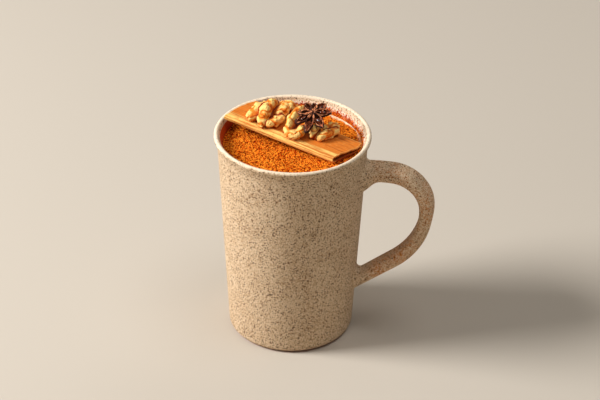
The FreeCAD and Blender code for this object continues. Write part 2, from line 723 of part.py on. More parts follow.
def liftClear(solid, rotation, clearance):
    """How high the turned solid has to stand to clear a flat face below it."""
    turned = solid.copy()
    turned.Placement = FreeCAD.Placement(FreeCAD.Vector(), rotation)
    return clearance - turned.optimalBoundingBox().ZMin


def buildWalnuts(doc, sheet):
    """Four pieces sit on the bark's top and one stands on the drink, each just clear of what carries it."""
    features = []
    for name in barkWalnuts:
        piece = readPiece(sheet, barkWalnuts, name)
        solid = walnutSolid(piece)
        rotation = turnedPiece(piece)
        lift = liftClear(solid, rotation, sheet.seatGap)
        onBark = FreeCAD.Placement(FreeCAD.Vector(piece["along"], piece["across"], lift), rotation)
        features.append(addFeature(doc, name, solid, barkPlacement(sheet).multiply(onBark)))
    for name in drinkWalnuts:
        piece = readPiece(sheet, drinkWalnuts, name)
        solid = walnutSolid(piece)
        rotation = turnedPiece(piece)
        level = sheet.mugHeight - sheet.drinkDepthBelowRim
        bearing = math.radians(piece["bearing"])
        place = FreeCAD.Vector(piece["distance"] * math.cos(bearing), piece["distance"] * math.sin(bearing),
                               level + liftClear(solid, rotation, sheet.seatGap))
        features.append(addFeature(doc, name, solid, FreeCAD.Placement(place, rotation)))
    return features


def buildAnise(doc, sheet, supports):
    """The star anise, tipped to the front and let down until it is a seat gap from what carries it.

    A straight move down by less than the shortest distance can't touch, so the steps close in safely.
    """
    front = math.radians(sheet.aniseTipTurn)
    tip = FreeCAD.Rotation(FreeCAD.Vector(math.cos(front), math.sin(front), 0), sheet.aniseTip)
    above = FreeCAD.Vector(sheet.aniseAlong, sheet.aniseAcross, sheet.aniseDrop)
    place = barkPlacement(sheet).multVec(above)
    solid = aniseSolid(sheet)
    carrier = Part.makeCompound([item.Shape for item in supports])
    free = sheet.aniseDrop
    while free > tolerance:
        solid.Placement = FreeCAD.Placement(place, tip)
        free = solid.distToShape(carrier)[0] - sheet.seatGap
        place = place - FreeCAD.Vector(0, 0, max(free, 0))
    return addFeature(doc, "star_anise", solid, FreeCAD.Placement(place, tip))


def checkDocument(doc, pieces):
    """Stop before anything is written if a feature failed or a piece isn't one valid solid."""
    for item in doc.Objects:
        if "Invalid" in item.State or "Error" in item.State:
            raise RuntimeError("%s did not compute" % item.Name)
        if item.TypeId == "Sketcher::SketchObject" and not item.FullyConstrained:
            raise RuntimeError("%s is not fully constrained" % item.Name)
    for piece in pieces:
        shape = piece.Shape
        if shape.isNull() or not shape.isValid() or len(shape.Solids) != 1:
            raise RuntimeError("%s is not one valid solid" % piece.Label)


def main():
    doc = FreeCAD.newDocument("salepCup")
    pieceGroups = [pieceCells(pieces) for pieces in (anisePods, barkWalnuts, drinkWalnuts)]
    sheet = makeSheet(doc, [mugSizes, handleSizes, barkSizes, aniseSizes] + pieceGroups)
    mug = buildMug(doc)
    salep = buildSalep(doc)
    bark = buildBark(doc, sheet)
    walnuts = buildWalnuts(doc, sheet)
    anise = buildAnise(doc, sheet, walnuts)
    doc.recompute()
    pieces = [mug, salep, bark, anise] + walnuts
    checkDocument(doc, pieces)
    os.makedirs("parts", exist_ok=True)
    for piece in pieces:
        piece.Shape.exportStep("parts/%s.step" % piece.Label)
        print(piece.Label, round(piece.Shape.Volume, 1), piece.Shape.optimalBoundingBox())


main()
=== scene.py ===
import bpy
import math
import numpy as np
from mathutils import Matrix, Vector


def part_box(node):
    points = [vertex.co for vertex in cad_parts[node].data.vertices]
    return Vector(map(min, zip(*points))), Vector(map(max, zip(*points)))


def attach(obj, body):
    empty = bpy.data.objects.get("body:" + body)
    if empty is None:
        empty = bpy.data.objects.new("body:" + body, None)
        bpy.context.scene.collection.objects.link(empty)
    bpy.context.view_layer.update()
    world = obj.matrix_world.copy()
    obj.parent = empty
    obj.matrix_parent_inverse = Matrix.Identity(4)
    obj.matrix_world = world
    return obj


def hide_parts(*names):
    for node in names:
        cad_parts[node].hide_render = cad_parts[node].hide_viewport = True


# A tall stoneware mug of salep: ground cinnamon on the drink, a rolled slab of cinnamon bark
# across the mouth, walnut pieces on it and one star anise. Shapes are worked out in millimetres.

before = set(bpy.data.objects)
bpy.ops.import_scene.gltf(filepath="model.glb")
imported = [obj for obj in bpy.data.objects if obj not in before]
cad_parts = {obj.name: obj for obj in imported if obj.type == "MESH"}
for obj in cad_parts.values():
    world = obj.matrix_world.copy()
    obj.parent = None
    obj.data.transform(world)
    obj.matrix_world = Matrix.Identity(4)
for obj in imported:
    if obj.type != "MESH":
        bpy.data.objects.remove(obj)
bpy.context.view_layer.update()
millimetre = 0.001
scatter = np.random.default_rng(4050)


# Numbers to surfaces

latticeFactors = (73856093, 19349663, 83492791)  # large odd numbers, one for each direction
seedFactor = 26544357
stirs = ((13, 1274126177), (15, 668265263))  # bits to shift by and the factor that follows


def latticeValue(cells, seed):
    # a steady random value from -1 to 1 for each whole-number corner of a lattice
    mixed = seed * seedFactor
    for direction, factor in enumerate(latticeFactors):
        mixed = mixed ^ cells[..., direction] * factor
    for shift, factor in stirs:
        mixed = ((mixed ^ (mixed >> shift)) * factor) & 0x7FFFFFFF
    return (mixed >> 8 & 0xFFFF) / 32767.5 - 1


def softNoise(points, size, seed):
    # lattice values at the eight corners of each point's cell, eased between by 3t^2 - 2t^3
    cells = points / np.asarray(size, float)
    low = np.floor(cells).astype(np.int64)
    ease = cells - low
    ease = ease * ease * (3 - 2 * ease)
    total = 0
    for corner in range(8):
        step = np.array([corner & 1, corner >> 1 & 1, corner >> 2 & 1])
        weight = np.prod(np.where(step == 1, ease, 1 - ease), axis=-1)
        total = total + weight * latticeValue(low + step, seed)
    return total


def smoothStep(value, low, high):
    # 0 below low, 1 above high, eased between
    share = np.clip((value - low) / (high - low), 0, 1)
    return share * share * (3 - 2 * share)


def gridQuads(rows, columns, around=False):
    # corner numbers of a rows x columns grid, each face one row on and one column on
    row = np.arange(rows - 1)[:, None]
    column = np.arange(columns if around else columns - 1)[None, :]
    following = (column + 1) % columns
    return np.stack([row * columns + column, row * columns + following,
                     (row + 1) * columns + following, (row + 1) * columns + column], -1).reshape(-1, 4)


def tubeFaces(rows, columns):
    # a grid closed around its columns, with a pole point after it at each end
    quads = gridQuads(rows, columns, around=True)
    column = np.arange(columns)
    following = (column + 1) % columns
    last = (rows - 1) * columns
    startPole = np.full(columns, rows * columns)
    startFan = np.stack([startPole, following, column], -1)
    endFan = np.stack([startPole + 1, last + column, last + following], -1)
    return quads, np.concatenate([startFan, endFan])


def withPoles(grid):
    # the grid's points, then the middle of its first ring and of its last
    points = grid.reshape(-1, 3)
    return np.concatenate([points, grid[0].mean(0)[None], grid[-1].mean(0)[None]])


def makePiece(name, points, quads, triangles, marks=None, flow=None, smooth=True):
    # puts arrays into a mesh: points, faces, a value per point for each mark, and a flow map
    mesh = bpy.data.meshes.new(name)
    triangles = np.asarray(triangles).reshape(-1, 3)
    quads = np.asarray(quads).reshape(-1, 4)
    corners = np.concatenate([quads.ravel(), triangles.ravel()]).astype(np.int32)
    sizes = np.concatenate([np.full(len(quads), 4), np.full(len(triangles), 3)])
    mesh.vertices.add(len(points))
    metres = np.asarray(points, float) * millimetre
    mesh.vertices.foreach_set("co", metres.astype(np.float32).ravel())
    mesh.loops.add(len(corners))
    mesh.loops.foreach_set("vertex_index", corners)
    mesh.polygons.add(len(sizes))
    mesh.polygons.foreach_set("loop_start", (np.cumsum(sizes) - sizes).astype(np.int32))
    mesh.update(calc_edges=True)
    mesh.validate()
    mesh.polygons.foreach_set("use_smooth", np.full(len(mesh.polygons), smooth))
    for mark, values in (marks or {}).items():
        layer = mesh.attributes.new(mark, "FLOAT", "POINT")
        layer.data.foreach_set("value", np.asarray(values, np.float32).ravel())
    if flow is not None:
        layer = mesh.uv_layers.new(name="flow")
        layer.data.foreach_set("uv", (flow[corners] * millimetre).astype(np.float32).ravel())
    piece = bpy.data.objects.new(name, mesh)
    bpy.context.scene.collection.objects.link(piece)
    return piece


def finishPiece(piece, material, nodes=()):
    piece.data.materials.clear()
    piece.data.materials.append(material)
    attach(piece, "root")
    if nodes:
        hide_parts(*nodes)


# Materials

def feed(tree, node, inputs):
    # an input is a plain value or another node's output
    for key, value in inputs.items():
        if isinstance(value, bpy.types.NodeSocket):
            tree.links.new(value, node.inputs[key])
        else:
            node.inputs[key].default_value = value


def addNode(tree, kind, inputs=None, **settings):
    made = tree.nodes.new("ShaderNode" + kind)
    for key, value in settings.items():
        setattr(made, key, value)
    feed(tree, made, inputs or {})
    return made


def calc(tree, operation, first, second=0.0, third=0.0, clamp=False):
    made = addNode(tree, "Math", {0: first, 1: second, 2: third}, operation=operation, use_clamp=clamp)
    return made.outputs[0]


def mixColour(tree, share, first, second):
    # the first colour, turning into the second as the share goes from 0 to 1
    return addNode(tree, "Mix", {0: share, 6: first, 7: second}, data_type="RGBA").outputs[2]


def noiseOf(tree, place, scale, detail=2.0, roughness=0.5, distortion=0.0):
    # soft noise from 0 to 1; the scale is in swells per metre
    return addNode(tree, "TexNoise", {"Vector": place, "Scale": scale, "Detail": detail,
                                      "Roughness": roughness, "Distortion": distortion}).outputs[0]


def markOf(tree, name):
    # a value that the piece's mesh carries at each point
    return addNode(tree, "Attribute", attribute_name=name).outputs["Fac"]


def rampOf(tree, value, low, high):
    # 0 to 1 as the value goes from low to high, eased
    return addNode(tree, "MapRange", {"Value": value, "From Min": low, "From Max": high},
                   interpolation_type="SMOOTHSTEP").outputs["Result"]


def colour(red, green, blue):
    # a screen colour from 0 to 255 as the light it stands for
    linear = [((part / 255 + 0.055) / 1.055) ** 2.4 if part > 10 else part / 255 / 12.92
              for part in (red, green, blue)]
    return (*linear, 1.0)


def newGroup(name, inputs, outputs):
    # a shader node group with named sockets; each input has its kind and its usual value
    group = bpy.data.node_groups.new(name, "ShaderNodeTree")
    for label, kind, usual in inputs:
        socket = group.interface.new_socket(name=label, in_out="INPUT", socket_type="NodeSocket" + kind)
        if usual is not None:
            socket.default_value = usual
    for label, kind in outputs:
        group.interface.new_socket(name=label, in_out="OUTPUT", socket_type="NodeSocket" + kind)
    entry = group.nodes.new("NodeGroupInput")
    leave = group.nodes.new("NodeGroupOutput")
    return group, entry, leave


def useGroup(tree, group, inputs):
    made = tree.nodes.new("ShaderNodeGroup")
    made.node_tree = group
    feed(tree, made, inputs)
    return made


def cellsOf(tree, place, scale):
    # cells round scattered points: the distance to the nearest point, and a random colour for each
    return addNode(tree, "TexVoronoi", {"Vector": place, "Scale": scale})


def makeSpeckGroup():
    # dots of uneven size: how near a point lies to its cell's centre, against a size drawn per cell
    group, entry, leave = newGroup(
        "specks", [("Vector", "Vector", None), ("Cell", "Float", 1000.0), ("Fill", "Float", 0.3),
                   ("Share", "Float", 0.5)],
        [("Mask", "Float"), ("Draw", "Float")])
    cells = cellsOf(group, entry.outputs["Vector"], entry.outputs["Cell"])
    parts = addNode(group, "SeparateColor", {"Color": cells.outputs["Color"]})
    drawn = calc(group, "LESS_THAN", parts.outputs[0], entry.outputs["Share"])
    reach = calc(group, "MULTIPLY", entry.outputs["Fill"],
                 calc(group, "MULTIPLY_ADD", parts.outputs[1], 0.8, 0.4))
    near = rampOf(group, cells.outputs["Distance"], reach, calc(group, "MULTIPLY", reach, 0.55))
    group.links.new(calc(group, "MULTIPLY", near, drawn), leave.inputs["Mask"])
    group.links.new(parts.outputs[2], leave.inputs["Draw"])
    return group


def makeGrainGroup():
    # ground spice: two sizes of cell toned one by one, painted shade in the gaps between the coarse cells,
    # and soft patches over them
    group, entry, leave = newGroup("groundSpice", [("Vector", "Vector", None), ("Grain", "Float", 1400.0)],
                                   [("Tone", "Float"), ("Height", "Float")])
    place, scale = entry.outputs["Vector"], entry.outputs["Grain"]
    coarse = cellsOf(group, place, scale)
    fine = cellsOf(group, place, calc(group, "MULTIPLY", scale, 2.1))
    patches = noiseOf(group, place, 260.0, 3.0)
    coarseTone = addNode(group, "SeparateColor", {"Color": coarse.outputs["Color"]}).outputs[0]
    fineTone = addNode(group, "SeparateColor", {"Color": fine.outputs["Color"]}).outputs[1]
    mixed = calc(group, "MULTIPLY_ADD", fineTone, 0.3, calc(group, "MULTIPLY", coarseTone, 0.5))
    # painted shade: each coarse cell darkens towards its edge, in the gaps between grains
    gaps = addNode(group, "MapRange", {"Value": coarse.outputs["Distance"], "From Min": 0.42,
                                       "From Max": 0.8}).outputs[0]
    mixed = calc(group, "MULTIPLY_ADD", gaps, -0.55, mixed)
    tone = calc(group, "MULTIPLY_ADD", patches, 0.5, calc(group, "SUBTRACT", mixed, 0.06), clamp=True)
    depth = calc(group, "MULTIPLY_ADD", fine.outputs["Distance"], 0.5, coarse.outputs["Distance"])
    group.links.new(tone, leave.inputs["Tone"])
    group.links.new(calc(group, "SUBTRACT", 1.0, depth), leave.inputs["Height"])
    return group


def makeFibreGroup():
    # wood fibre along the flow map: noise drawn out along the length, coarse and fine
    group, entry, leave = newGroup("fibre", [("Flow", "Vector", None), ("Pace", "Float", 900.0)],
                                   [("Streak", "Float"), ("Fine", "Float")])
    # how far the noise is drawn out, how fast it changes across, and its detail
    for label, stretch, share, detail in (("Streak", 0.045, 1.0, 4.0), ("Fine", 0.11, 3.4, 2.0)):
        drawn = addNode(group, "VectorMath", {0: entry.outputs["Flow"], 1: (stretch, 1.0, 1.0)},
                        operation="MULTIPLY").outputs[0]
        pace = calc(group, "MULTIPLY", entry.outputs["Pace"], share)
        group.links.new(noiseOf(group, drawn, pace, detail, 0.6), leave.inputs[label])
    return group


speckGroup = makeSpeckGroup()
spiceGroup = makeGrainGroup()
fibreGroup = makeFibreGroup()


def newMaterial(name, roughness, specular=0.5):
    made = bpy.data.materials.new(name)
    made.use_nodes = True
    tree = made.node_tree
    shader = tree.nodes["Principled BSDF"]
    shader.inputs["Roughness"].default_value = roughness
    shader.inputs["Specular IOR Level"].default_value = specular
    return made, tree, shader


def dress(tree, shader, base, height=None, strength=0.5, distance=0.3):
    # the colour, and a bump whose distance is in millimetres
    tree.links.new(base, shader.inputs["Base Color"])
    if height is not None:
        bump = addNode(tree, "Bump", {"Height": height, "Strength": strength,
                                      "Distance": distance * millimetre})
        tree.links.new(bump.outputs[0], shader.inputs["Normal"])


# The mug's clay: sand-coloured body, dark iron specks in three layers, paler glaze on the lip and
# inside, rust on the handle, and dust on the inner wall near the drink, raised to the lip on the left
# as painted shade. Places are in millimetres.
clay = {
    "body": colour(224, 198, 165), "bodyDark": colour(180, 146, 110), "lip": colour(242, 222, 194),
    "inside": colour(248, 228, 200), "speck": colour(44, 18, 6), "rust": colour(196, 112, 30),
    "dust": colour(180, 64, 4),
    "cloud": 90.0, "sand": 1600.0,  # swells per metre
    "specks": [(720.0, 0.35, 0.95), (900.0, 0.37, 0.8), (330.0, 0.17, 0.4)],  # cells per metre, fill, share
    "wallFoot": 34.7, "wallSlope": 0.0506,  # radius of the wall at the base, and its widening upwards
    "innerSide": (0.8, 1.6),  # how far inside that line the inner colour fades in
    "lipHeight": (122.2, 123.0), "lipWobble": 1.6,
    "handleFrom": (41.0, 50.0), "handleLow": (85.0, 45.0),
    # the dust's reach on the left, second of these entries, is painted shade on the left inner wall in the
    # dust's colour
    "dustLift": 7.0, "dustAndShadeLeft": (-10.0, -28.0), "dustGrains": (700.0, 0.6, 0.9),
}


def placeRamp(tree, value, limits):
    # 0 to 1 as a place in metres goes between two places in millimetres
    return rampOf(tree, value, limits[0] * millimetre, limits[1] * millimetre)


def specksOf(tree, place, layer):
    cell, fill, share = layer
    return useGroup(tree, speckGroup, {"Vector": place, "Cell": cell, "Fill": fill, "Share": share}).outputs


def makeClay():
    made, tree, shader = newMaterial("speckledStoneware", 0.75, 0.2)
    place = addNode(tree, "TexCoord").outputs["Object"]
    parts = addNode(tree, "SeparateXYZ", {"Vector": place})
    across, along, height = parts.outputs
    radius = calc(tree, "SQRT", calc(tree, "ADD", calc(tree, "POWER", across, 2.0),
                                     calc(tree, "POWER", along, 2.0)))
    cloud = noiseOf(tree, place, clay["cloud"], 4.0, 0.6)
    sandy = noiseOf(tree, place, clay["sand"], 2.0, 0.6)
    tone = calc(tree, "ADD", calc(tree, "MULTIPLY", cloud, 0.15), calc(tree, "MULTIPLY", sandy, 0.85))
    base = mixColour(tree, rampOf(tree, tone, 0.42, 0.54), clay["bodyDark"], clay["body"])
    # inside and lip
    wall = calc(tree, "MULTIPLY_ADD", height, clay["wallSlope"], clay["wallFoot"] * millimetre)
    inner = placeRamp(tree, calc(tree, "SUBTRACT", wall, radius), clay["innerSide"])
    base = mixColour(tree, inner, base, clay["inside"])
    wobble = calc(tree, "MULTIPLY_ADD", cloud, clay["lipWobble"] * millimetre, height)
    lip = placeRamp(tree, wobble, clay["lipHeight"])
    base = mixColour(tree, calc(tree, "MULTIPLY", lip, 0.85), base, clay["lip"])
    # rust on the handle, most of it low down
    handle = placeRamp(tree, across, clay["handleFrom"])
    low = placeRamp(tree, height, clay["handleLow"])
    cloudy = calc(tree, "MULTIPLY", rampOf(tree, cloud, 0.36, 0.6), 0.6)
    grainy = calc(tree, "MULTIPLY", handle, rampOf(tree, sandy, 0.54, 0.44))
    rusty = calc(tree, "MULTIPLY", grainy, calc(tree, "MULTIPLY_ADD", low, 0.4, cloudy), clamp=True)
    base = mixColour(tree, rusty, base, clay["rust"])
    # specks, fainter on the lip, rustier on the handle and dusty inside
    calmer = calc(tree, "MULTIPLY_ADD", lip, -0.6, 1.0)
    rustShare = calc(tree, "MULTIPLY_ADD", handle, 0.5, 0.2)
    dustShare = calc(tree, "MULTIPLY", inner, 0.6)
    pits = 0.0
    for layer in clay["specks"]:
        specks = specksOf(tree, place, layer)
        shown = calc(tree, "MULTIPLY", specks["Mask"], calmer)
        tint = mixColour(tree, calc(tree, "MULTIPLY", specks["Draw"], rustShare), clay["speck"], clay["rust"])
        base = mixColour(tree, shown, base, mixColour(tree, dustShare, tint, clay["dust"]))
        pits = calc(tree, "ADD", pits, shown)
    # dust on the inner wall: thickest at the drink, ragged at its top; on the left it is raised towards the
    # lip as painted shade, where the wall shades itself
    above = calc(tree, "SUBTRACT", height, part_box("salep")[1][2])
    # painted shade: the dust colour carried up the left inner wall, which lies in the wall's own shadow
    left = placeRamp(tree, across, clay["dustAndShadeLeft"])
    fade = calc(tree, "MULTIPLY", placeRamp(tree, above, (clay["dustLift"], 0.0)),
                calc(tree, "MULTIPLY_ADD", left, 0.35, 0.65))
    fade = calc(tree, "MULTIPLY_ADD", left, 0.55, fade)
    uneven = calc(tree, "MULTIPLY_ADD", sandy, 0.9, calc(tree, "MULTIPLY_ADD", cloud, 0.9, -0.9))
    ragged = rampOf(tree, calc(tree, "ADD", fade, uneven), 0.46, 0.6)
    dusted = specksOf(tree, place, clay["dustGrains"])["Mask"]
    sparse = calc(tree, "MULTIPLY", dusted, calc(tree, "MULTIPLY_ADD", fade, 0.8, 0.35), clamp=True)
    thick = calc(tree, "MULTIPLY", inner, calc(tree, "MAXIMUM", ragged, sparse))
    base = mixColour(tree, rampOf(tree, thick, 0.3, 0.6), base, clay["dust"])
    relief = calc(tree, "MULTIPLY_ADD", sandy, 0.7, calc(tree, "MULTIPLY", pits, -0.35))
    dress(tree, shader, base, relief, 0.5, 0.25)
    return made


# The ground cinnamon on the drink, with a thin line of milk where the drink meets the wall.
spice = {
    "dark": colour(104, 22, 0), "middle": colour(234, 86, 2), "light": colour(255, 160, 46),
    "milk": colour(250, 226, 190),
    "milkWidth": 1.5, "milkBearing": 0.85, "milkSpread": 0.5,  # millimetres, then radians
    "grain": 1250.0,  # cells per metre
}


def spiceColour(tree, tone):
    base = mixColour(tree, rampOf(tree, tone, 0.16, 0.44), spice["dark"], spice["middle"])
    return mixColour(tree, rampOf(tree, tone, 0.4, 0.62), base, spice["light"])


def makeSpice():
    made, tree, shader = newMaterial("groundCinnamon", 0.95, 0.04)
    place = addNode(tree, "TexCoord").outputs["Object"]
    ground = useGroup(tree, spiceGroup, {"Vector": place, "Grain": spice["grain"]})
    base = spiceColour(tree, ground.outputs["Tone"])
    base = mixColour(tree, markOf(tree, "milk"), base, spice["milk"])
    dress(tree, shader, base, ground.outputs["Height"], 1.0, 0.5)
    return made


def makeLooseSpice():
    made, tree, shader = newMaterial("looseCinnamon", 0.95, 0.04)
    place = addNode(tree, "TexCoord").outputs["Object"]
    mottle = noiseOf(tree, place, 3000.0, 1.0)
    tone = calc(tree, "MULTIPLY_ADD", mottle, 0.3, calc(tree, "SUBTRACT", markOf(tree, "tone"), 0.1))
    dress(tree, shader, spiceColour(tree, tone))
    return made


# The bark: tan face with fine fibres, a cream rolled edge, pale broken ends and a darker inside.
barkLook = {
    "face": colour(216, 118, 36), "faceDark": colour(176, 84, 22), "cream": colour(252, 202, 112),
    "streak": colour(196, 112, 42), "inside": colour(142, 66, 22), "broken": colour(248, 190, 104),
    "fibres": 900.0,  # per metre across the sheet
}


def makeBarkLook():
    made, tree, shader = newMaterial("cinnamonBark", 0.75, 0.15)
    flow = addNode(tree, "UVMap", uv_map="flow").outputs[0]
    fibre = useGroup(tree, fibreGroup, {"Flow": flow, "Pace": barkLook["fibres"]})
    streak, fine = fibre.outputs["Streak"], fibre.outputs["Fine"]
    paleFibre = calc(tree, "MULTIPLY", rampOf(tree, fine, 0.5, 0.72), 0.3)
    darkFibre = calc(tree, "MULTIPLY", rampOf(tree, fine, 0.42, 0.28), 0.5)
    face = mixColour(tree, rampOf(tree, streak, 0.32, 0.52), barkLook["faceDark"], barkLook["face"])
    face = mixColour(tree, paleFibre, face, barkLook["cream"])
    face = mixColour(tree, darkFibre, face, barkLook["inside"])
    cream = mixColour(tree, rampOf(tree, streak, 0.46, 0.62), barkLook["cream"], barkLook["streak"])
    cream = mixColour(tree, rampOf(tree, fine, 0.44, 0.32), cream, barkLook["streak"])
    inside = mixColour(tree, rampOf(tree, streak, 0.4, 0.7), barkLook["inside"], barkLook["faceDark"])
    base = mixColour(tree, markOf(tree, "rolled"), face, cream)
    base = mixColour(tree, markOf(tree, "inner"), base, inside)
    base = mixColour(tree, calc(tree, "MULTIPLY", markOf(tree, "broken"), 0.85), base, barkLook["broken"])
    dress(tree, shader, base, calc(tree, "MULTIPLY_ADD", fine, 0.6, streak), 0.6, 0.3)
    return made


# Walnut meat: pale gold on the crests, amber on the flanks, red-brown skin and painted shade in the
# clefts; the crests also carry painted light on pieces that sit in shade.
walnutLook = {
    "crest": colour(255, 210, 124), "flank": colour(244, 140, 36), "cleft": colour(120, 34, 2),
    "skin": colour(204, 90, 10),
    "patches": 420.0, "veins": 1500.0,  # swells per metre
}


def makeWalnutLook():
    made, tree, shader = newMaterial("walnutMeat", 0.5, 0.2)
    place = addNode(tree, "TexCoord").outputs["Object"]
    patches = noiseOf(tree, place, walnutLook["patches"], 5.0, 0.65)
    veins = noiseOf(tree, place, walnutLook["veins"], 3.0, 0.5, 1.2)
    # how pale: the crest mark, which holds painted light on pieces in shade, with patches over it
    lit = calc(tree, "ADD", markOf(tree, "crest"), calc(tree, "MULTIPLY_ADD", patches, 0.9, -0.45))
    veined = calc(tree, "MULTIPLY", rampOf(tree, veins, 0.56, 0.7), 0.45)
    # skin with painted shade: the cleft mark darkens creases, the core and the underside
    skinAndShade = calc(tree, "ADD", markOf(tree, "cleft"), calc(tree, "MULTIPLY_ADD", patches, 0.5, -0.25))
    base = mixColour(tree, rampOf(tree, lit, 0.35, 0.95), walnutLook["flank"], walnutLook["crest"])
    base = mixColour(tree, veined, base, walnutLook["skin"])
    base = mixColour(tree, rampOf(tree, skinAndShade, 0.1, 0.55), base, walnutLook["skin"])
    base = mixColour(tree, rampOf(tree, skinAndShade, 0.5, 1.0), base, walnutLook["cleft"])
    dress(tree, shader, base, calc(tree, "MULTIPLY_ADD", veins, 0.6, patches), 0.8, 0.4)
    return made


# Star anise: woody brown pods, worn pale along the seams and inside, and shiny seeds.
aniseLook = {
    "pod": colour(76, 30, 18), "podDark": colour(22, 8, 5), "seam": colour(232, 148, 100),
    "hollow": colour(198, 110, 70), "seed": colour(120, 50, 18),
    "wrinkles": 700.0, "wear": 330.0, "mottle": 900.0,  # swells per metre
}


def makePodLook():
    made, tree, shader = newMaterial("anisePod", 0.65, 0.2)
    place = addNode(tree, "TexCoord").outputs["Object"]
    wrinkle = noiseOf(tree, place, aniseLook["wrinkles"], 5.0, 0.7, 0.8)
    wear = noiseOf(tree, place, aniseLook["wear"], 3.0)
    seam = markOf(tree, "seam")
    hollow = calc(tree, "MULTIPLY", markOf(tree, "inner"), rampOf(tree, wrinkle, 0.4, 0.56))
    worn = rampOf(tree, calc(tree, "ADD", seam, calc(tree, "MULTIPLY_ADD", wear, 5.0, -2.9)), 0.4, 0.9)
    worn = calc(tree, "MULTIPLY", worn, calc(tree, "MINIMUM", calc(tree, "MULTIPLY", seam, 2.0), 1.0))
    base = mixColour(tree, rampOf(tree, wrinkle, 0.38, 0.62), aniseLook["podDark"], aniseLook["pod"])
    base = mixColour(tree, hollow, base, aniseLook["hollow"])
    base = mixColour(tree, calc(tree, "MULTIPLY", worn, 0.9), base, aniseLook["seam"])
    dress(tree, shader, base, wrinkle, 0.8, 0.4)
    return made


def makeSeedLook():
    made, tree, shader = newMaterial("aniseSeed", 0.18, 0.6)
    place = addNode(tree, "TexCoord").outputs["Object"]
    mottle = noiseOf(tree, place, aniseLook["mottle"], 2.0)
    base = mixColour(tree, rampOf(tree, mottle, 0.35, 0.7), aniseLook["podDark"], aniseLook["seed"])
    dress(tree, shader, base)
    return made


clayLook = makeClay()
spiceLook = makeSpice()
looseSpiceLook = makeLooseSpice()
woodLook = makeBarkLook()
meatLook = makeWalnutLook()
podLook = makePodLook()
seedLook = makeSeedLook()
print("materials ready")


# The mug keeps its own mesh

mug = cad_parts["mug"]
mug.data.materials.clear()
mug.data.materials.append(clayLook)
print("mug done")


# The drink

drink = {
    "segments": 620, "rings": 112, "sideRings": 12,
    "swell": 0.22, "clump": 0.2, "grain": 0.2, "sunk": 0.35,  # relief of the dusted top
    "edgeWidth": 1.3, "edgeDrop": 0.05, "sideDrop": 0.8, "sideGap": 0.25,
    "footRadius": 32.0, "footRound": 6.9,
}
salepLow, salepHigh = [np.array(corner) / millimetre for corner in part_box("salep")]
drinkLevel = salepHigh[2]
drinkRadius = salepHigh[0]


def spiceHeight(across, along):
    # how high the dusted surface stands: slow swells, clumps and grains, all sunk a little
    flat = np.stack([across, along, np.zeros_like(across)], -1)
    swell = drink["swell"] * softNoise(flat, 9.0, 3)
    clump = drink["clump"] * softNoise(flat, 1.7, 5)
    grain = drink["grain"] * (softNoise(flat, 0.62, 8) + 0.6 * softNoise(flat, 0.4, 11))
    return swell + clump + grain - drink["sunk"]


def circled(radius, angle, height):
    # points at a radius, an angle and a height about the mug's axis
    return np.stack([radius * np.cos(angle), radius * np.sin(angle), height + 0 * angle], -1)


def buildDrink():
    # a profile turned about the axis: dusted top, side against the wall, flat foot
    angle = np.linspace(0, 2 * math.pi, drink["segments"], endpoint=False)[None, :]
    reach = drinkRadius * np.linspace(0, 1, drink["rings"] + 1)[1:, None] ** 0.9
    edge = smoothStep(reach, drinkRadius - drink["edgeWidth"], drinkRadius)
    dusted = spiceHeight(reach * np.cos(angle), reach * np.sin(angle))
    top = circled(reach, angle, drinkLevel + dusted * (1 - edge) - drink["edgeDrop"] * edge ** 2)
    # the side follows the wall inwards and down, then rounds into the foot
    drop = np.linspace(0, 1, drink["sideRings"])[1:, None]
    sideTop = drinkLevel - drink["sideDrop"]
    above = (sideTop - salepLow[2]) * (1 - drop)  # height over the foot
    bend = np.clip(1 - above / drink["footRound"], 0, 1)
    slope = (drinkRadius - drink["sideGap"] - drink["footRadius"]) / (drinkLevel - salepLow[2])
    sideReach = drink["footRadius"] - drink["footRound"] * (1 - np.sqrt(1 - bend ** 2)) + slope * above
    grid = np.concatenate([top, circled(sideReach, angle, salepLow[2] + above)])
    quads, triangles = tubeFaces(len(grid), drink["segments"])
    points = withPoles(grid)
    points[-2, 2] = drinkLevel + spiceHeight(np.zeros(1), np.zeros(1))[0]
    # milk shows in a thin uneven line at the wall, most of all at the back right
    bearing = np.arctan2(points[:, 1], points[:, 0])
    radius = np.hypot(points[:, 0], points[:, 1])
    width = spice["milkWidth"] * (1 + 0.8 * softNoise(circled(30, bearing, 0), 5.0, 21))
    facing = np.exp(-((bearing - spice["milkBearing"]) / spice["milkSpread"]) ** 2)
    milk = facing * smoothStep(radius, drinkRadius - 0.25 - width, drinkRadius - 0.1 - 0.5 * width)
    piece = makePiece("salepDrink", points, quads[:, ::-1], triangles[:, ::-1], {"milk": milk})
    finishPiece(piece, spiceLook, ["salep"])


buildDrink()
print("drink done")


# Loose grains of cinnamon: on the drink, and some caught on the wall above it

grains = {
    "onDrink": 14500, "onWall": 1500, "smallest": 0.2, "largest": 0.55,
    "edgeGap": 0.9, "wallLift": 5.0, "wallBearing": 0.9, "wallSpread": 0.75,
}


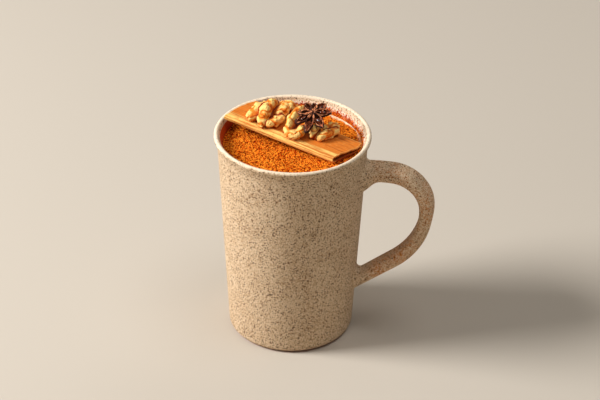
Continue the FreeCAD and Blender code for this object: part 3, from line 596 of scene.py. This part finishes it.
def buildGrains():
    # each grain is a squashed, turned eight-cornered lump; all of them are one mesh
    count = grains["onDrink"] + grains["onWall"]
    radius = (drinkRadius - grains["edgeGap"]) * np.sqrt(scatter.random(grains["onDrink"]))
    bearing = scatter.random(grains["onDrink"]) * 2 * math.pi
    dusted = spiceHeight(radius * np.cos(bearing), radius * np.sin(bearing))
    onDrink = circled(radius, bearing, drinkLevel + dusted)
    lift = grains["wallLift"] * scatter.random(grains["onWall"]) ** 2.2
    wallBearing = grains["wallBearing"] + grains["wallSpread"] * scatter.standard_normal(grains["onWall"])
    # the wall leans outwards, and more so over the first millimetres
    wallRadius = drinkRadius + 0.02 + 0.0545 * lift + 0.05 * np.clip(lift - 1.5, 0, 9) ** 2
    centres = np.concatenate([onDrink, circled(wallRadius, wallBearing, drinkLevel + lift)])
    size = grains["smallest"] + (grains["largest"] - grains["smallest"]) * scatter.random(count) ** 2.5
    stretch = 0.5 * size[:, None] * scatter.uniform(0.55, 1.1, (count, 3))
    turn = np.linalg.qr(scatter.standard_normal((count, 3, 3)))[0]
    turn[:, :, 0] *= np.sign(np.linalg.det(turn))[:, None]
    signs = np.array([[x, y, z] for x in (-1, 1) for y in (-1, 1) for z in (-1, 1)], float)
    sides = np.array([[0, 1, 3, 2], [4, 6, 7, 5], [0, 4, 5, 1], [2, 3, 7, 6], [0, 2, 6, 4], [1, 5, 7, 3]])
    local = signs[None] * stretch[:, None, :] * scatter.uniform(0.6, 1.1, (count, 8, 3))
    corners = np.einsum("nij,nkj->nki", turn, local) + centres[:, None, :]
    quads = (sides[None] + 8 * np.arange(count)[:, None, None]).reshape(-1, 4)
    marks = {"tone": np.repeat(scatter.random(count), 8)}
    piece = makePiece("looseCinnamon", corners.reshape(-1, 3), quads, [], marks, smooth=False)
    finishPiece(piece, looseSpiceLook)


buildGrains()
print("loose cinnamon done")


# The bark

bark = {
    "length": 74.5, "width": 22.8, "thickness": 1.1, "fold": 4.2, "underlap": 20.6, "rearGap": 0.5,
    "frontShort": 5.9, "underExtra": 0.6,  # how much shorter the right end is in front, longer below
    "leftReach": -1.8, "turn": -20.1, "startRadius": 39.3, "startAngle": 172.2, "fall": 6.5,
    "rimHeight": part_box("mug")[1][2] / millimetre, "seatGap": 0.2,
    # each end: how far it reaches at places across the sheet, short of the length at the right
    "rightShort": [(0, 5.9), (5.4, 4.5), (9.8, 2.9), (13.4, 1.0), (17.0, 0), (21.6, 0.4), (22.8, 1.4)],
    "leftShort": [(0, -0.2), (1.9, 1.2), (9.2, 1.7), (17.0, 3.3), (22.8, 6.1)],
    "rows": 330, "facePoints": 84, "rollPoints": 26, "underPoints": 40,
}


def barkPoint(local):
    # from along, across and above the sheet to the mug's frame: tilted about Y, turned about Z, moved
    slope = bark["fall"] / (bark["length"] - bark["frontShort"] - bark["leftReach"])
    tilt = math.asin(slope)
    turn = math.radians(bark["turn"])
    startAngle = math.radians(bark["startAngle"])
    foldHeight = bark["rimHeight"] + bark["seatGap"] + bark["fold"] + bark["leftReach"] * slope
    along = local[..., 0] * math.cos(tilt) + local[..., 2] * math.sin(tilt)
    up = -local[..., 0] * math.sin(tilt) + local[..., 2] * math.cos(tilt)
    across = local[..., 1]
    return np.stack([
        bark["startRadius"] * math.cos(startAngle) + along * math.cos(turn) - across * math.sin(turn),
        bark["startRadius"] * math.sin(startAngle) + along * math.sin(turn) + across * math.cos(turn),
        foldHeight + up], -1)


def barkSection():
    # the outer side's line across and up, face then roll then under layer, and its inward direction
    rolled = bark["fold"] / 2
    inside = rolled - bark["thickness"]
    rearUp = inside - bark["rearGap"]
    rearAcross = bark["underlap"] - rolled
    leaving = math.atan2(rearUp, rearAcross) - math.acos(inside / math.hypot(rearAcross, rearUp))
    down = np.array([math.cos(leaving), math.sin(leaving)])
    faceAcross = np.linspace(bark["width"], rolled, bark["facePoints"], endpoint=False)
    rollAngle = np.linspace(math.pi / 2, leaving + 2 * math.pi, bark["rollPoints"])
    rollAway = np.stack([np.cos(rollAngle), np.sin(rollAngle)], -1)
    underStart = rolled * down
    underEnd = np.array([rearAcross, rearUp]) + bark["thickness"] * down
    underShare = np.linspace(0, 1, bark["underPoints"] + 1)[1:, None]
    under = underStart + (underEnd - underStart) * underShare
    face = np.stack([faceAcross - rolled, 0 * faceAcross + rolled], -1)
    line = np.concatenate([face, rolled * rollAway, under]) + np.array([rolled, -rolled])
    inward = np.concatenate([np.broadcast_to((0.0, -1.0), face.shape), -rollAway,
                             np.broadcast_to(-down, under.shape)])
    return line[:, 0], line[:, 1], inward


def buildBark():
    # the section is carried along the length; its outer side and its inner side, one thickness in,
    # are joined all round
    outerAcross, outerUp, inward = barkSection()
    path = np.concatenate([[0], np.cumsum(np.hypot(np.diff(outerAcross), np.diff(outerUp)))])
    foldStart = path[bark["facePoints"]]
    foldEnd = path[bark["facePoints"] + bark["rollPoints"]]
    isFace, isUnder = path < foldStart, path >= foldEnd
    rightAt, rightShort = zip(*bark["rightShort"])
    leftAt, leftShort = zip(*bark["leftShort"])
    rightEnd = bark["length"] - np.interp(outerAcross, rightAt, rightShort) + bark["underExtra"] * isUnder
    leftEnd = np.interp(outerAcross, leftAt, leftShort)
    torn = np.stack([path, 0 * path, 0 * path], -1)
    rightEnd = rightEnd + 0.28 * softNoise(torn, 0.8, 31) + 0.35 * softNoise(torn, 2.4, 32) - 0.3
    leftEnd = leftEnd + 0.25 * softNoise(torn, 0.8, 33) + 0.3 * softNoise(torn, 2.6, 34) + 0.25
    share = np.linspace(0, 1, bark["rows"])[:, None]
    along = leftEnd[None] + (rightEnd - leftEnd)[None] * share
    pathGrid = np.broadcast_to(path[None], along.shape)
    flat = np.stack([along, pathGrid, 0 * along], -1)
    # relief: long fibres, shallow furrows, a slow warp of the face and a chipped rear edge
    lift = (0.06 * softNoise(flat, (9.0, 0.5, 1), 41) + 0.09 * softNoise(flat, (16.0, 1.1, 1), 42)
            + 0.14 * softNoise(flat, (24.0, 2.6, 1), 43))
    onFace = smoothStep(outerAcross, 1.0, 6.0) * isFace
    warp = 0.22 * softNoise(flat, (22.0, 9.0, 1), 44) * onFace[None]
    rearChip = 0.35 * softNoise(flat, (3.2, 50.0, 1), 45) + 0.25 * softNoise(flat, (1.1, 50.0, 1), 46)
    nearRear = smoothStep(outerAcross, bark["width"] - 1.5, bark["width"]) * isFace
    across = outerAcross[None] + (rearChip - 0.3) * nearRear[None]
    up = outerUp[None] + warp
    outer = np.stack([along, across - inward[None, :, 0] * lift, up - inward[None, :, 1] * lift], -1)
    # the thickness wanders, and the inner side's ends are frayed
    thin = bark["thickness"] * (1 + 0.12 * softNoise(flat, (6.0, 2.0, 1), 47))
    frayed = 0.15 * softNoise(flat, (1.0, 0.6, 1), 48) * (np.abs(share - 0.5) > 0.498)
    inner = np.stack([along + frayed, across + inward[None, :, 0] * thin,
                      up + inward[None, :, 1] * thin], -1)
    loop = np.concatenate([outer, inner[:, ::-1]], 1)
    rows, columns = along.shape
    column = np.arange(columns - 1)
    mirrored = 2 * columns - 1 - column
    last = (rows - 1) * 2 * columns
    startCap = np.stack([column + 1, column, mirrored, mirrored - 1], -1)
    endCap = last + np.stack([column, column + 1, mirrored - 1, mirrored], -1)
    quads = np.concatenate([gridQuads(rows, 2 * columns, around=True), startCap, endCap])
    # where the cream roll, the inner side and the pale broken ends are
    roll = smoothStep(path, foldStart - 2.6, foldStart - 1.6) * (1 - smoothStep(path, foldEnd - 1.0, foldEnd))
    roll = np.clip(roll[None] + 0.3 * softNoise(flat, (14.0, 0.8, 1), 49) * (roll > 0.02)[None], 0, 1)
    endNear = np.maximum(1 - smoothStep(along - leftEnd[None], 0.05, 0.6),
                         1 - smoothStep(rightEnd[None] - along, 0.05, 0.55)) * ~isUnder
    rearNear = (1 - smoothStep(pathGrid, 0.1, 0.6)) * ~isUnder
    marks = {"rolled": np.concatenate([roll, 0 * roll], 1),
             "inner": np.concatenate([0 * along + isUnder, 1 + 0 * along], 1),
             "broken": np.concatenate([np.maximum(endNear * 0.7, rearNear), endNear[:, ::-1] * 0.5], 1)}
    flow = np.concatenate([flat[..., :2], flat[:, ::-1, :2] + 40], 1).reshape(-1, 2)
    points = barkPoint(loop.reshape(-1, 3))
    piece = makePiece("cinnamonSlab", points, quads, [], marks, flow)
    finishPiece(piece, woodLook, ["cinnamon_bark"])


buildBark()
print("bark done")


# The walnuts

# Lobes of each piece as paths of along, across, height and radius; those on the bark are in the
# sheet's own frame, the one on the drink in the mug's. The floor is where the piece is cut flat,
# and a piece of three lobes or more ends with its core. The paleness share given for each piece is
# painted light, added to its crest mark where it sits in shade.
walnuts = {
    "walnut_left": {
        "onBark": True, "centre": (21.2, 11.4, 2.2), "floor": 0.25, "grid": (190, 250), "seed": 61,
        "paintedLight": 0, "lobes": [
            [(14.7, 3.4, 2.4, 2.2), (13.7, 7.6, 3.2, 2.7), (14.3, 12.2, 3.6, 2.8), (15.4, 17.0, 3.4, 2.4)],
            [(22.3, 1.9, 2.2, 2.1), (21.3, 5.0, 4.0, 2.9), (20.1, 10.2, 5.4, 3.4), (18.9, 16.2, 5.4, 3.3),
             (18.6, 21.0, 4.0, 2.6)],
            [(26.4, 3.6, 2.2, 2.0), (28.2, 7.0, 2.7, 2.4), (28.8, 11.4, 3.0, 2.2)],
            [(26.8, 12.6, 3.8, 2.2), (27.4, 17.2, 4.6, 2.8), (25.2, 21.6, 4.0, 2.6), (22.0, 23.2, 3.2, 2.1)],
            [(18.2, 8.0, 1.6, 2.4), (24.0, 11.0, 1.8, 2.6), (22.5, 18.0, 1.8, 2.8)]]},
    "walnut_middle": {
        "onBark": True, "centre": (38.8, 12.0, 1.6), "floor": 0.25, "grid": (180, 230), "seed": 71,
        "paintedLight": 0, "lobes": [
            [(34.9, 24.6, 5.8, 1.9), (34.2, 21.0, 6.2, 2.1), (34.3, 16.0, 5.6, 2.1), (35.0, 10.2, 4.8, 2.0),
             (36.8, 5.0, 3.4, 2.0), (39.6, 1.8, 2.2, 2.0), (42.9, 2.7, 2.2, 2.2), (44.5, 6.0, 2.6, 2.2),
             (43.9, 10.0, 3.0, 2.1)],
            [(43.4, 12.0, 3.0, 2.2), (41.6, 18.0, 3.4, 2.3), (38.6, 23.0, 3.2, 2.1)],
            [(38.8, 6.6, 0.9, 1.5), (39.0, 14.0, 1.2, 1.9), (37.6, 20.0, 1.4, 2.0)]]},
    "walnut_right": {
        "onBark": True, "centre": (56.2, 16.4, 2.0), "floor": 0.25, "grid": (130, 170), "seed": 83,
        "paintedLight": 0.15, "lobes": [
            [(55.0, 9.8, 2.1, 1.8), (56.4, 13.2, 2.8, 2.4), (57.8, 17.2, 3.0, 2.5), (58.4, 20.2, 2.6, 2.0)],
            [(54.2, 18.4, 3.6, 2.1), (55.6, 21.4, 4.0, 2.3), (57.0, 23.2, 3.4, 1.9)],
            [(55.8, 15.6, 1.5, 1.8), (56.8, 20.0, 1.6, 2.0)]]},
    "walnut_chip": {
        "onBark": True, "centre": (50.6, 11.6, 2.2), "floor": 0.25, "grid": (90, 120), "seed": 97,
        "paintedLight": 0.9, "lobes": [
            [(50.3, 9.0, 2.2, 1.7), (49.9, 11.4, 4.4, 2.3), (49.9, 14.0, 4.2, 1.9)],
            [(51.4, 9.6, 1.6, 1.5), (51.5, 12.6, 2.2, 1.7)]]},
    "walnut_back": {
        "onBark": False, "centre": (-9.3, 31.4, 118.6), "floor": 116.2, "grid": (120, 160), "seed": 103,
        "paintedLight": 0, "lobes": [
            [(-14.0, 30.4, 119.6, 2.0), (-10.4, 30.9, 121.2, 2.7), (-6.4, 31.4, 121.0, 2.5),
             (-4.6, 32.2, 119.2, 1.9)],
            [(-13.0, 32.8, 118.6, 1.9), (-8.6, 33.6, 119.2, 2.2), (-5.4, 33.8, 118.2, 1.6)],
            [(-12.0, 31.4, 118.0, 1.9), (-6.4, 32.0, 118.0, 2.0)]]},
}
walnutRelief = {
    "wart": 1.35, "wartSize": 3.0, "knob": 0.5, "knobSize": 1.3, "fine": 0.08, "fineSize": 0.5,
    "join": 0.35, "cleftWidth": 0.7, "valleyWidth": 0.08,
    "steps": 34, "pace": 0.8,  # how often and how boldly the rays are shortened
}


def lobeDistances(points, lobes):
    # how far each point lies outside each lobe: its distance to the lobe's path less the radius there
    found = []
    for lobe in lobes:
        nearest = None
        for first, second in zip(np.array(lobe[:-1]), np.array(lobe[1:])):
            run = second[:3] - first[:3]
            share = np.clip((points - first[:3]) @ run / (run @ run), 0, 1)
            gap = np.linalg.norm(points - first[:3] - share[..., None] * run, axis=-1)
            gap = gap - first[3] - share * (second[3] - first[3])
            nearest = gap if nearest is None else np.minimum(nearest, gap)
        found.append(nearest)
    return np.stack(found)


def wartHeight(points, seed):
    # rounded warts with sharp valleys between: the size of a smooth noise, coarse and fine
    relief = walnutRelief
    wart = np.abs(softNoise(points, relief["wartSize"], seed))
    knob = np.abs(softNoise(points, relief["knobSize"], seed + 1))
    fine = softNoise(points, relief["fineSize"], seed + 2)
    return wart, relief["wart"] * (wart - 0.35) + relief["knob"] * (knob - 0.3) + relief["fine"] * fine


def meatDistance(points, piece):
    # the lobes blended where they meet, swollen by the warts and cut flat at the floor
    gaps = lobeDistances(points, piece["lobes"])
    join = walnutRelief["join"]
    joined = -join * np.log(np.exp(-gaps / join).sum(0) + 1e-30)
    wart, swelling = wartHeight(points, piece["seed"])
    return np.maximum(joined - swelling, piece["floor"] - points[..., 2]), gaps, wart


def buildWalnut(name, piece):
    # rays from the centre, over two angles, are walked inwards until they meet the meat
    rows, columns = piece["grid"]
    polar = np.linspace(0, math.pi, rows + 2)[1:-1, None]
    around = np.linspace(0, 2 * math.pi, columns, endpoint=False)[None, :]
    direction = np.stack([np.sin(polar) * np.sin(around), np.cos(polar) + 0 * around,
                          np.sin(polar) * np.cos(around)], -1)
    centre = np.array(piece["centre"])
    lobePoints = np.concatenate([np.array(lobe) for lobe in piece["lobes"]])
    reach = np.full((rows, columns), np.linalg.norm(lobePoints[:, :3] - centre, axis=1).max() + 5.0)
    for step in range(walnutRelief["steps"]):
        distance = meatDistance(centre + reach[..., None] * direction, piece)[0]
        reach = np.maximum(reach - walnutRelief["pace"] * distance, 0.3)
    grid = centre + reach[..., None] * direction
    distance, gaps, wart = meatDistance(grid, piece)
    # darker between two lobes, in the valleys between warts, on the core and low down: partly red-brown skin,
    # partly painted shade in the creases and under the piece
    ordered = np.sort(gaps, axis=0)
    between = np.exp(-((ordered[1] - ordered[0]) / walnutRelief["cleftWidth"]) ** 2)
    valley = np.exp(-(wart / walnutRelief["valleyWidth"]) ** 2)
    isCore = (gaps.argmin(0) == len(piece["lobes"]) - 1) * (len(piece["lobes"]) > 2)
    # painted shade low down, near the floor the piece rests on
    shadeLowDown = 1 - smoothStep(grid[..., 2] - piece["floor"], 0.2, 2.2)
    cleft = np.maximum(np.maximum(between, 0.6 * valley), 0.8 * isCore)
    cleft = np.clip(cleft + 0.2 * shadeLowDown, 0, 1)
    # the crest mark: paler on the wart tops, less so low down; each piece's paleness share is painted light,
    # lifting pieces that lie in shade
    crest = smoothStep(wart, 0.02, 0.35) * (1 - 0.5 * shadeLowDown) + piece["paintedLight"]
    quads, triangles = tubeFaces(rows, columns)
    points = withPoles(grid)
    if piece["onBark"]:
        points = barkPoint(points)
    marks = {"cleft": np.concatenate([cleft.ravel(), [0, 0]]),
             "crest": np.concatenate([crest.ravel(), [0.5, 0.5]])}
    made = makePiece(name + "_meat", points, quads[:, ::-1], triangles[:, ::-1], marks)
    finishPiece(made, meatLook, [name])


for walnutName, walnutPiece in walnuts.items():
    buildWalnut(walnutName, walnutPiece)
print("walnuts done")


# The star anise

anise = {
    "radius": 10.8, "podHeight": 4.3, "podThickness": 4.9, "spacing": 45.0, "wall": 0.42, "wrinkle": 0.36,
    "along": 44.6, "across": 17.4, "above": 16.0, "topGap": 0.6,  # over the bark; under the CAD box's top
    "tip": 27.0, "tipTurn": 10.0,
    "coreRadius": 1.4, "coreHeight": 3.1, "seedSize": (1.75, 0.95, 0.75),
    "rows": 60, "sidePoints": 34,
}
anisePods = [  # length beside the radius, how far the seam opens, degrees off even spacing, seed or not
    (0.93, 0.95, 9, True), (0.82, 1.25, 3, True), (0.54, 0.5, 2, False), (0.66, 0.85, 1, False),
    (0.78, 0.5, 14, False), (1.13, 0.85, 1, True), (1.3, 0.8, -7, False), (1.05, 1.3, -7, True)]


def podSection(share, podLength):
    # reach, half width, keel and crest of a pod at each share of its length
    reach = 0.6 + (anise["radius"] * podLength - 0.6) * share
    fullness = np.sin(math.pi * (0.11 + 0.85 * share)) ** 0.6
    keel = anise["podHeight"] * (0.42 * (1 - fullness) + 0.25 * share ** 3)
    crest = anise["podHeight"] * (0.55 + 0.4 * fullness * (1 - 0.3 * share))
    return reach, anise["podThickness"] / 2 * fullness, keel, crest


def podGrid(podLength, opening, seed):
    # an open boat: the section runs down one side, round the keel and up the other, then back inside
    share = np.linspace(0, 1, anise["rows"])[:, None]
    reach, halfWidth, keel, crest = podSection(share, podLength)
    gape = opening * np.sin(math.pi * np.clip(share * 1.05, 0, 1)) ** 0.8 + 0.05
    swing = np.linspace(-1, 1, anise["sidePoints"])[None, :]
    angle = swing * (math.pi - gape)
    pinch = 1 - 0.25 * np.cos(angle) ** 2 * (np.cos(angle) > 0)
    middle, half = (keel + crest) / 2, (crest - keel) / 2
    outer = np.stack([reach + 0 * angle, halfWidth * np.sin(angle) * pinch,
                      middle - half * np.cos(angle)], -1)
    normal = np.stack([0 * angle, np.sin(angle) + 0 * share, -np.cos(angle) + 0 * share], -1)
    lump = softNoise(outer, (2.2, 0.8, 1.1), seed) + 0.5 * softNoise(outer, 0.6, seed + 1)
    outer = outer + normal * (anise["wrinkle"] * lump * np.minimum(halfWidth / 0.8, 1))[..., None]
    wall = np.minimum(anise["wall"], 0.45 * np.minimum(halfWidth, half))
    inner = outer - normal * wall[..., None] * (1 + 0.2 * lump[..., None])
    grid = np.concatenate([outer, inner[:, ::-1]], 1)
    seam = smoothStep(np.abs(swing) + 0 * share, 0.8, 0.97)
    return grid, np.concatenate([seam, seam[:, ::-1]], 1), np.concatenate([0 * seam, 0 * seam + 1], 1)


def ovalGrid(centre, size, rows=14, columns=20):
    # an oval from two angles
    polar = np.linspace(0, math.pi, rows + 2)[1:-1, None]
    around = np.linspace(2 * math.pi, 0, columns, endpoint=False)[None, :]
    return np.array(centre) + np.array(size) * np.stack([
        np.cos(polar) + 0 * around, np.sin(polar) * np.cos(around), np.sin(polar) * np.sin(around)], -1)


def spun(points, degrees):
    turn = math.radians(degrees)
    return np.stack([points[..., 0] * math.cos(turn) - points[..., 1] * math.sin(turn),
                     points[..., 0] * math.sin(turn) + points[..., 1] * math.cos(turn), points[..., 2]], -1)


def tipped(points):
    # turned about a level line by the tip angle, by the rule for turning about an axis
    turn, front = math.radians(anise["tip"]), math.radians(anise["tipTurn"])
    axis = np.array([math.cos(front), math.sin(front), 0])
    return (points * math.cos(turn) + np.cross(axis, points) * math.sin(turn)
            + axis * (points @ axis)[..., None] * (1 - math.cos(turn)))


def joinGrids(grids):
    # several closed grids, each with its poles, as one set of points and faces
    allPoints, allQuads, allTriangles, offset = [], [], [], 0
    for grid in grids:
        rows, columns = grid.shape[:2]
        quads, triangles = tubeFaces(rows, columns)
        points = withPoles(grid)
        allPoints.append(points)
        allQuads.append(quads + offset)
        allTriangles.append(triangles + offset)
        offset += len(points)
    return np.concatenate(allPoints), np.concatenate(allQuads), np.concatenate(allTriangles)


def buildAnise():
    # pods round a small core, all tipped together, with a seed in some of the open pods
    podGrids, seamMarks, innerMarks, seedGrids = [], [], [], []
    for number, (podLength, opening, stray, seeded) in enumerate(anisePods):
        turn = anise["spacing"] * number + stray
        grid, seam, inner = podGrid(podLength, opening, 120 + 3 * number)
        podGrids.append(spun(grid, turn))
        seamMarks.append(np.concatenate([seam.ravel(), [0, 0]]))
        innerMarks.append(np.concatenate([inner.ravel(), [0, 0]]))
        if seeded:
            reach, halfWidth, keel, crest = podSection(np.array(0.5), podLength)
            seed = ovalGrid((reach, 0, keel + 0.62 * (crest - keel)), anise["seedSize"])
            seedGrids.append(spun(seed, turn))
    coreSize = (anise["coreRadius"], anise["coreRadius"], anise["coreHeight"] / 2)
    core = ovalGrid((0, 0, 0.55 * anise["coreHeight"]), coreSize)
    corePoints = core.shape[0] * core.shape[1] + 2
    podGrids.append(core)
    seamMarks.append(np.full(corePoints, 0.3))
    innerMarks.append(np.zeros(corePoints))
    points, quads, triangles = joinGrids(podGrids)
    points = tipped(points)
    # its lowest point is at the floor of the CAD box, or lower where its top would come too high
    boxLow, boxHigh = [np.array(corner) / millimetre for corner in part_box("star_anise")]
    start = barkPoint(np.array([anise["along"], anise["across"], anise["above"]]))
    start[2] = min(boxLow[2] - points[:, 2].min(), boxHigh[2] - anise["topGap"] - points[:, 2].max())
    marks = {"seam": np.concatenate(seamMarks), "inner": np.concatenate(innerMarks)}
    piece = makePiece("starAnise", points + start, quads, triangles, marks)
    finishPiece(piece, podLook, ["star_anise"])
    points, quads, triangles = joinGrids(seedGrids)
    seeds = makePiece("aniseSeeds", tipped(points) + start, quads, triangles)
    finishPiece(seeds, seedLook)


buildAnise()
print("star anise done")


# Floor, light and camera

stage = {"floorHalf": 3.0, "floorDepth": 0.0002, "floorColour": colour(196, 186, 172),
         "worldColour": (1.0, 0.92, 0.82, 1.0), "worldStrength": 0.16, "lit": (0.0, 0.0, 0.07)}
lights = [  # name, place, how wide, watts
    ("keyLight", (-1.55, -0.4, 1.25), 0.75, 58.0),
    ("topLight", (0.5, -0.2, 1.9), 0.9, 8.0),
    ("backLight", (0.7, 1.4, 1.3), 1.2, 4.0),
]
view = {"lens": 139.74, "sensor": 36.0, "place": (0.189357, -1.073895, 0.767738),
        "turn": (57.7347, -0.6714, 10.1889)}


def buildFloor():
    half, down = stage["floorHalf"], -stage["floorDepth"]
    corners = [(-half, -half, down), (half, -half, down), (half, half, down), (-half, half, down)]
    mesh = bpy.data.meshes.new("floor")
    mesh.from_pydata(corners, [], [(0, 1, 2, 3)])
    floor = bpy.data.objects.new("floor", mesh)
    bpy.context.scene.collection.objects.link(floor)
    made, tree, shader = newMaterial("paleFloor", 0.9, 0.2)
    shader.inputs["Base Color"].default_value = stage["floorColour"]
    mesh.materials.append(made)


def buildLights():
    for name, place, wide, watts in lights:
        data = bpy.data.lights.new(name, "AREA")
        data.shape = "DISK"
        data.size = wide
        data.energy = watts
        lamp = bpy.data.objects.new(name, data)
        lamp.location = place
        aim = Vector(stage["lit"]) - Vector(place)
        lamp.rotation_euler = aim.to_track_quat("-Z", "Y").to_euler()
        bpy.context.scene.collection.objects.link(lamp)
    world = bpy.data.worlds.new("studio")
    bpy.context.scene.world = world
    world.use_nodes = True
    background = world.node_tree.nodes["Background"]
    background.inputs["Color"].default_value = stage["worldColour"]
    background.inputs["Strength"].default_value = stage["worldStrength"]


def buildCamera():
    data = bpy.data.cameras.new("camera")
    data.lens = view["lens"]
    data.sensor_width = view["sensor"]
    camera = bpy.data.objects.new("camera", data)
    camera.location = view["place"]
    camera.rotation_euler = [math.radians(angle) for angle in view["turn"]]
    bpy.context.scene.collection.objects.link(camera)
    bpy.context.scene.camera = camera


buildFloor()
buildLights()
buildCamera()
bpy.context.scene.view_settings.view_transform = "Standard"
print("floor, lights and camera done")
